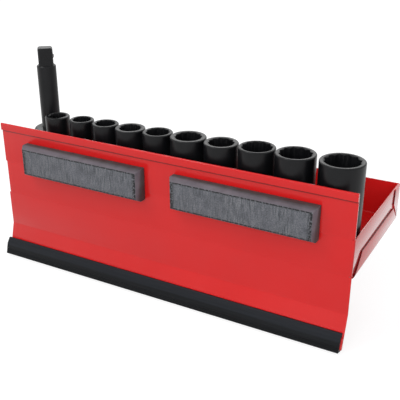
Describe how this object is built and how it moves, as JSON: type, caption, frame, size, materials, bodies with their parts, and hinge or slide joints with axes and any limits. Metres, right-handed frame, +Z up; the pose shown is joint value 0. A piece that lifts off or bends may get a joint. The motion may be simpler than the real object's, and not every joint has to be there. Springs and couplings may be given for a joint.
{
  "type": "magnetic socket tray",
  "caption": "Red sheet-steel side tray with block magnets and a rubber edge strip on its back plate, holding a row of upright deep sockets and an extension bar.",
  "frame": {"origin": "middle of the plane through the two magnets' faces, on the back plate's centre line", "axes": "+Y points at the steel wall that the magnets hold to, +Z up, +X along the back plate; the tray opens towards -Y"},
  "size_m": [0.3226, 0.1293, 0.1863],
  "materials": {
    "red_paint": "glossy red powder coat on sheet steel",
    "ferrite": "ground grey ferrite magnet",
    "adhesive": "foam adhesive pad",
    "rubber": "extruded black rubber",
    "rail_steel": "black coated steel",
    "rivet_metal": "aluminium rivet",
    "black_steel": "black phosphated tool steel",
    "spring_steel": "spring steel wire",
    "ball_steel": "dull hardened steel ball"
  },
  "bodies": {
    "tray": {"back_plate": "red_paint", "tray_pan": "red_paint", "magnet_left": "ferrite", "magnet_right": "ferrite", "magnet_pad_left": "adhesive", "magnet_pad_right": "adhesive", "edge_trim": "rubber", "socket_rail": "rail_steel", "socket_posts": "rail_steel", "bar_post": "rail_steel", "rail_rivets": "rivet_metal"},
    "socket_13": {"socket_13": "black_steel"},
    "socket_14": {"socket_14": "black_steel"},
    "socket_15": {"socket_15": "black_steel"},
    "socket_16": {"socket_16": "black_steel"},
    "socket_17": {"socket_17": "black_steel"},
    "socket_19": {"socket_19": "black_steel"},
    "socket_18": {"socket_18": "black_steel"},
    "socket_21": {"socket_21": "black_steel"},
    "socket_22": {"socket_22": "black_steel"},
    "socket_24": {"socket_24": "black_steel"},
    "extension": {"extension_bar": "black_steel", "detent_spring": "spring_steel"},
    "detent_ball": {"detent_ball": "ball_steel"}
  },
  "joints": [
    {"name": "lift_13", "type": "slide", "parent": "tray", "child": "socket_13", "axis": [0, 0, 1], "range_m": [0, 0.08]},
    {"name": "lift_14", "type": "slide", "parent": "tray", "child": "socket_14", "axis": [0, 0, 1], "range_m": [0, 0.08]},
    {"name": "lift_15", "type": "slide", "parent": "tray", "child": "socket_15", "axis": [0, 0, 1], "range_m": [0, 0.08]},
    {"name": "lift_16", "type": "slide", "parent": "tray", "child": "socket_16", "axis": [0, 0, 1], "range_m": [0, 0.08]},
    {"name": "lift_17", "type": "slide", "parent": "tray", "child": "socket_17", "axis": [0, 0, 1], "range_m": [0, 0.08]},
    {"name": "lift_19", "type": "slide", "parent": "tray", "child": "socket_19", "axis": [0, 0, 1], "range_m": [0, 0.08]},
    {"name": "lift_18", "type": "slide", "parent": "tray", "child": "socket_18", "axis": [0, 0, 1], "range_m": [0, 0.08]},
    {"name": "lift_21", "type": "slide", "parent": "tray", "child": "socket_21", "axis": [0, 0, 1], "range_m": [0, 0.08]},
    {"name": "lift_22", "type": "slide", "parent": "tray", "child": "socket_22", "axis": [0, 0, 1], "range_m": [0, 0.08]},
    {"name": "lift_24", "type": "slide", "parent": "tray", "child": "socket_24", "axis": [0, 0, 1], "range_m": [0, 0.08]},
    {"name": "lift_bar", "type": "slide", "parent": "tray", "child": "extension", "axis": [0, 0, 1], "range_m": [0, 0.08]},
    {"name": "ball_press", "type": "slide", "parent": "extension", "child": "detent_ball", "axis": [0.7547, 0.6561, 0], "range_m": [0, 0.0011], "stiffness_N_per_m": 800, "springref_m": -0.0006, "deforming": ["detent_spring"]}
  ]
}
